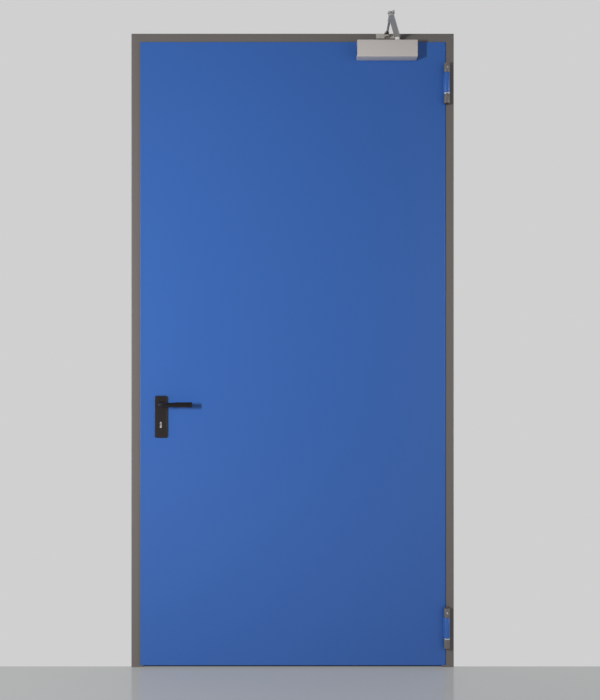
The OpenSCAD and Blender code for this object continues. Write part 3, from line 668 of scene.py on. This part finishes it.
# The handle plates, keyholes and levers, on both sides.
# Black steel-cored plastic: a tall bevelled plate, and a lever that bends out of its neck and thickens to its tip.
# A bright insert round the keyhole is the only metal that shows.
plate_low, plate_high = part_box("front_plate")
lever_low, lever_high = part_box("front_lever")
MID_Y = SPINDLE.y
PLATE_CORNER = 7 * MM
PLATE_BEVEL = 3 * MM
NECK_R = 8 * MM
LEVER_H = lever_high.z - lever_low.z - 1.5 * MM
LEVER_LIFT = 0.7 * MM
LEVER_T = 14 * MM
WAIST_H = 14.5 * MM
BEND = 30 * MM
LEVER_STEPS = 14
GRIP_SQUARE = 3.4
RING_STEPS = 36
KEYHOLE_R = 1.5 * MM
KEYHOLE_RISE = 2.5 * MM
KEYHOLE_DROP = 4.5 * MM
KEYHOLE_DEEP = 0.5
KEYHOLE_PROUD = 0.1


def handle_plastic(name, colour, roughness):
    """Black moulded plastic: nearly black with a warm cast, a fine spark-eroded grain and a soft sheen."""
    made, tree, shader, place = new_material(name, colour, roughness, IOR=1.5)
    grain = add_node(tree, "ShaderNodeTexNoise", Vector=place, Scale=per_mm(0.7), Detail=2.0)
    bump = add_node(tree, "ShaderNodeBump", Height=grain.outputs["Fac"], Strength=0.12, Distance=0.15 * MM)
    tree.links.new(bump.outputs["Normal"], shader.inputs["Normal"])
    return made


def rounded_outline(low, high, radius, steps=6):
    """A rounded rectangle in X and Z, anticlockwise seen from the front."""
    corners = ((high[0] - radius, high[1] - radius, 0), (low[0] + radius, high[1] - radius, 90),
               (low[0] + radius, low[1] + radius, 180), (high[0] - radius, low[1] + radius, 270))
    return [p for x, z, a in corners for p in arc((x, z), radius, a, a + 90, steps)]


def loft(rings):
    """Points and faces through a run of closed rings, with both ends closed."""
    count = len(rings[0])
    points = [p for ring in rings for p in ring]
    faces = [(r * count + i, r * count + (i + 1) % count, (r + 1) * count + (i + 1) % count, (r + 1) * count + i)
             for r in range(len(rings) - 1) for i in range(count)]
    last = (len(rings) - 1) * count
    return points, faces + [tuple(range(count))[::-1], tuple(range(last, last + count))]


def flipped(points, back):
    """Points as they are on the front, or mirrored to the leaf's back."""
    return [(p[0], 2 * MID_Y - p[1] if back else p[1], p[2]) for p in points]


def plate_points(back):
    """The plate from the leaf out: straight edges, then a rounded bevel to a flat front."""
    rings = []
    steps = 5
    out = plate_high.y - plate_low.y
    levels = [(0, 0)] + [(PLATE_BEVEL * (1 - math.cos(math.pi / 2 * i / steps)),
                          out - PLATE_BEVEL * 0.8 * (1 - math.sin(math.pi / 2 * i / steps))) for i in range(steps + 1)]
    for inset, depth in levels:
        outline = rounded_outline((plate_low.x + inset, plate_low.z + inset),
                                  (plate_high.x - inset, plate_high.z - inset), PLATE_CORNER - inset)
        rings.append(flipped([(x, plate_high.y - depth, z) for x, z in outline], back))
    points, faces = loft(rings)
    return points, [f if back else f[::-1] for f in faces]


def lever_points(back):
    """The lever: a round neck, a wide quarter bend, a slim waist and a grip with a square-cut tip.

    Each ring along the grip is told by its place out from the spindle in millimetres, its half height and how square
    it is.
    """
    front = lever_low.y
    axis_y = front + LEVER_T / 2
    rings = []

    def ring(middle, side, half_side, half_up, power):
        """Adds one ring: round at a power of 2, squarer above it."""
        turned_ring = []
        for i in range(RING_STEPS):
            a = 2 * math.pi * i / RING_STEPS
            c, s = math.cos(a), math.sin(a)
            k = (abs(c) ** power + abs(s) ** power) ** (-1 / power)
            spot = middle + side * (half_side * k * c) + Vector((0, 0, half_up * k * s))
            turned_ring.append(tuple(spot))
        rings.append(flipped(turned_ring, back))

    x0, z0, grip_z = SPINDLE.x, SPINDLE.z, SPINDLE.z + LEVER_LIFT
    bend_y = front + NECK_R + BEND
    across, along_y = Vector((1, 0, 0)), Vector((0, 1, 0))
    ring(Vector((x0, leaf_low.y, z0)), across, NECK_R, NECK_R, 2)
    for i in range(LEVER_STEPS + 1):
        a = math.pi / 2 * i / LEVER_STEPS
        middle = Vector((x0 + BEND * (1 - math.cos(a)), bend_y - BEND * math.sin(a), z0))
        ring(middle, across * math.cos(a) + along_y * math.sin(a), NECK_R, NECK_R, 2)
    tip = lever_high.x
    for out, half_up, power in ((38, WAIST_H / 2, 2.3), (42, WAIST_H / 2, 2.5), (46, WAIST_H / 2, 2.7),
                                (52, (WAIST_H + LEVER_H) / 4, 2.9), (58, LEVER_H / 2, 3.2),
                                (85, LEVER_H / 2, GRIP_SQUARE)):
        ring(Vector((x0 + out * MM, axis_y, grip_z)), along_y, LEVER_T / 2, half_up, power)
    for inset, back_off in ((0, 2.2), (0.25, 1.3), (0.9, 0.4), (1.8, 0)):
        ring(Vector((tip - back_off * MM, axis_y, grip_z)), along_y, LEVER_T / 2 - inset * MM,
             LEVER_H / 2 - inset * MM, GRIP_SQUARE)
    points, faces = loft(rings)
    return points, [f if back else f[::-1] for f in faces]


black = handle_plastic("black handle plastic", "#262122", 0.38)
# The lever's plastic is drawn darker than the plate's: partly its own black, partly painted shade for its dark
# underside.
lever_black_with_painted_shade = handle_plastic("black lever plastic", "#171314", 0.4)
for side, back in (("front", False), ("back", True)):
    plate = mesh_piece(f"{side}_handle_plate", *plate_points(back), black, "leaf", (f"{side}_plate",), "black_handle")
    smooth_by_angle(plate, 40)
    lever = mesh_piece(f"{side}_lever_handle", *lever_points(back), lever_black_with_painted_shade, "lever_handle", (f"{side}_lever",),
                       "black_handle")
    smooth_by_angle(lever, 40)
    keep_strips_off(lever)
    finish_cad(f"{side}_key_insert", bright, 0.3 * MM)
    insert_low, insert_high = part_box(f"{side}_key_insert")
    face_y = insert_high.y if back else insert_low.y
    outward = MM if back else -MM
    middle_z = (insert_low.z + insert_high.z) / 2
    # The keyhole is no hole but a thin black inlay just proud of the insert's face: painted shade for its dark.
    eye = arc((SPINDLE.x, middle_z + KEYHOLE_RISE), KEYHOLE_R, -60, 240, 12)
    keyhole = eye + [(SPINDLE.x + way * KEYHOLE_R / 2, middle_z - KEYHOLE_DROP) for way in (-1, 1)]
    points, faces = sweep(keyhole, lambda p: (p[0], face_y - KEYHOLE_DEEP * outward, p[1]),
                          lambda p: (p[0], face_y + KEYHOLE_PROUD * outward, p[1]))
    mesh_piece(f"{side}_keyhole", points, faces if back else [f[::-1] for f in faces], lever_black_with_painted_shade, "leaf")
finish_cad("lever_spindle", dark)

# The closer on the leaf.
# A cast body under silver paint, screwed over a back plate, with a threaded cap in each end.
# It holds the spring and the damper that shut the leaf.
body_low, body_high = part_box("closer_body")
CASTING_R = 2.6 * MM


def silver_paint(name="silver paint", colour="#bbb7b5"):
    """Silver or grey lacquer: fine metal flakes in a warm grey, under a satin gloss."""
    made, tree, shader, place = new_material(name, colour, 0.45)
    flakes = add_node(tree, "ShaderNodeTexVoronoi", Vector=place, Scale=per_mm(0.35))
    shade = add_node(tree, "ShaderNodeMapRange", Value=flakes.outputs["Distance"], To_Min=0.96, To_Max=1.05)
    tint = add_node(tree, "ShaderNodeVectorMath", {"operation": "SCALE"}, Scale=shade.outputs["Result"])
    tint.inputs[0].default_value = srgb(colour)[:3]
    tree.links.new(tint.outputs["Vector"], shader.inputs["Base Color"])
    return made


silver = silver_paint()
rolled_box("closer_casting", body_low, body_high, CASTING_R, silver, "leaf", ("closer_body",))
finish_cad("closer_back_plate", zinc, 0.5 * MM)
SOCKET_R = 4.5 * MM
SOCKET_DEEP = 3 * MM
CAP_CHAMFER = 1 * MM
CAP_STEPS = 48


def hexagon_r(angle, across):
    """The radius of a hexagon with this inner radius, at an angle."""
    sixth = math.pi / 3
    return across / math.cos((angle + sixth / 2) % sixth - sixth / 2)


def end_cap(side, way):
    """A screwed end cap: a chamfered disc with a hexagon socket, its face towards way along X."""
    low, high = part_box(f"closer_{side}_cap")
    radius, middle = (high.z - low.z) / 2, (low + high) / 2
    face_x, back_x = (low.x, high.x) if way < 0 else (high.x, low.x)
    rings = []
    for x, r, hexed in ((back_x, radius, False), (face_x - way * CAP_CHAMFER, radius, False),
                        (face_x, radius - CAP_CHAMFER, False), (face_x, SOCKET_R, True),
                        (face_x - way * SOCKET_DEEP, SOCKET_R, True)):
        rings.append([(x, middle.y + (hexagon_r(a, r) if hexed else r) * math.cos(a),
                       middle.z + (hexagon_r(a, r) if hexed else r) * math.sin(a))
                      for a in (2 * math.pi * i / CAP_STEPS for i in range(CAP_STEPS))])
    points, faces = loft(rings)
    faces = [f if way > 0 else f[::-1] for f in faces]
    cap = mesh_piece(f"closer_{side}_end_cap", points, faces, zinc, "leaf", (f"closer_{side}_cap",), "galvanised_steel")
    smooth_by_angle(cap, 25)


end_cap("left", -1)
end_cap("right", 1)

# The closer's arms and shoe.
# Grey steel, its grey partly its own tone and partly painted shade: the main arm tapers from the spindle to the elbow,
# a casting slotted into two lugs. The forearm is a threaded rod screwed into a sleeve, pinned to a shoe that two
# screws hold to the frame's head.
shoe_low, shoe_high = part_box("closer_shoe")
pivot_low, pivot_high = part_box("shoe_pin")
elbow_low, elbow_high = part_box("elbow_joint")
SHOE_SCREW_IN = 9 * MM
SHOE_SCREW_R = 4.5 * MM
SHOE_SCREW_BACK = 5 * MM
ELBOW_R = 11 * MM
FORK_BASE = 0.8 * MM
FORK_SLOT = 7.5 * MM
RIGHT_LUG_DROP = 3 * MM
LEFT_LUG_DROP = 5 * MM
THREAD_R = 4.15 * MM
THREAD_DEEP = 0.35 * MM
THREAD_PITCH = 1.25 * MM
THREAD_FROM = 38 * MM
THREAD_TO = 116 * MM
# The spindle and the arm's screw are drawn near white with little metal: partly their bright steel, partly a painted
# highlight of their shine.
polished = brushed("polished steel with painted shine", "#f6f6f4", 0.3, 0.25)
for node in ("closer_spindle", "arm_screw"):
    finish_cad(node, polished, 0.4 * MM)
# The arms' grey is the silver paint drawn darker: partly their own tone, partly painted shade for their undersides.
arm_grey_with_painted_shade = silver_paint("grey arm paint with painted shade", "#9b9b98")
for node in ("main_arm", "forearm_sleeve"):
    finish_cad(node, arm_grey_with_painted_shade, 0.6 * MM)
# The elbow's grey is also drawn darker than the closer's silver: partly its own tone, partly painted shade on its lit
# faces.
elbow_grey_with_painted_shade = silver_paint("grey elbow paint with painted shade", "#a09f9c")
elbow_x, elbow_y = (elbow_low.x + elbow_high.x) / 2, (elbow_low.y + elbow_high.y) / 2
elbow_h = elbow_high.z - elbow_low.z
chord = math.degrees(math.acos(FORK_SLOT / 2 / ELBOW_R))
fork = []
for name, start, end, bottom, top in (
        ("base", 0, 360, 0, FORK_BASE),
        ("right_lug", -chord, chord, FORK_BASE, elbow_h - RIGHT_LUG_DROP),
        ("left_lug", 180 - chord, 180 + chord, FORK_BASE, elbow_h - LEFT_LUG_DROP)):
    outline = arc((elbow_x, elbow_y), ELBOW_R, start, end, 24)[:None if end < 360 else -1]
    fork.append(mesh_piece(f"elbow_{name}", *sweep(outline, lambda p, z=elbow_low.z + bottom: (p[0], p[1], z),
                                                   lambda p, z=elbow_low.z + top: (p[0], p[1], z)), elbow_grey_with_painted_shade))
elbow_fork = joined("elbow_fork", fork)
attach(elbow_fork, "closer_forearm")
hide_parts("elbow_joint")
ease_edges(elbow_fork, 0.5 * MM)
smooth_by_angle(elbow_fork, 40)
shoe_silver = silver_paint("light shoe paint", "#b4b0ab")
finish_cad("closer_shoe", shoe_silver, 0.5 * MM)
for node in ("forearm_rod", "shoe_pin"):
    finish_cad(node, dark)
pivot = (pivot_low + pivot_high) / 2
for side, x in (("left", shoe_low.x + SHOE_SCREW_IN), ("right", shoe_high.x - SHOE_SCREW_IN)):
    screw_head(f"shoe_screw_{side}", (x, shoe_high.y - SHOE_SCREW_BACK, pivot.z), (0, -1, 0), SHOE_SCREW_R,
               "frame", bright)
elbow = Vector((elbow_x, elbow_low.y + ELBOW_R, pivot.z))
along = (elbow - pivot).normalized()
turns = int((THREAD_TO - THREAD_FROM) / THREAD_PITCH)
thread = [(0, 0)] + [point for i in range(turns) for point in (
    (THREAD_R - THREAD_DEEP, i * THREAD_PITCH), (THREAD_R, (i + 0.5) * THREAD_PITCH))]
thread += [(THREAD_R - THREAD_DEEP, turns * THREAD_PITCH), (0, turns * THREAD_PITCH)]
lathe("forearm_thread", thread, pivot + along * THREAD_FROM, along, zinc, "closer_forearm", steps=24)
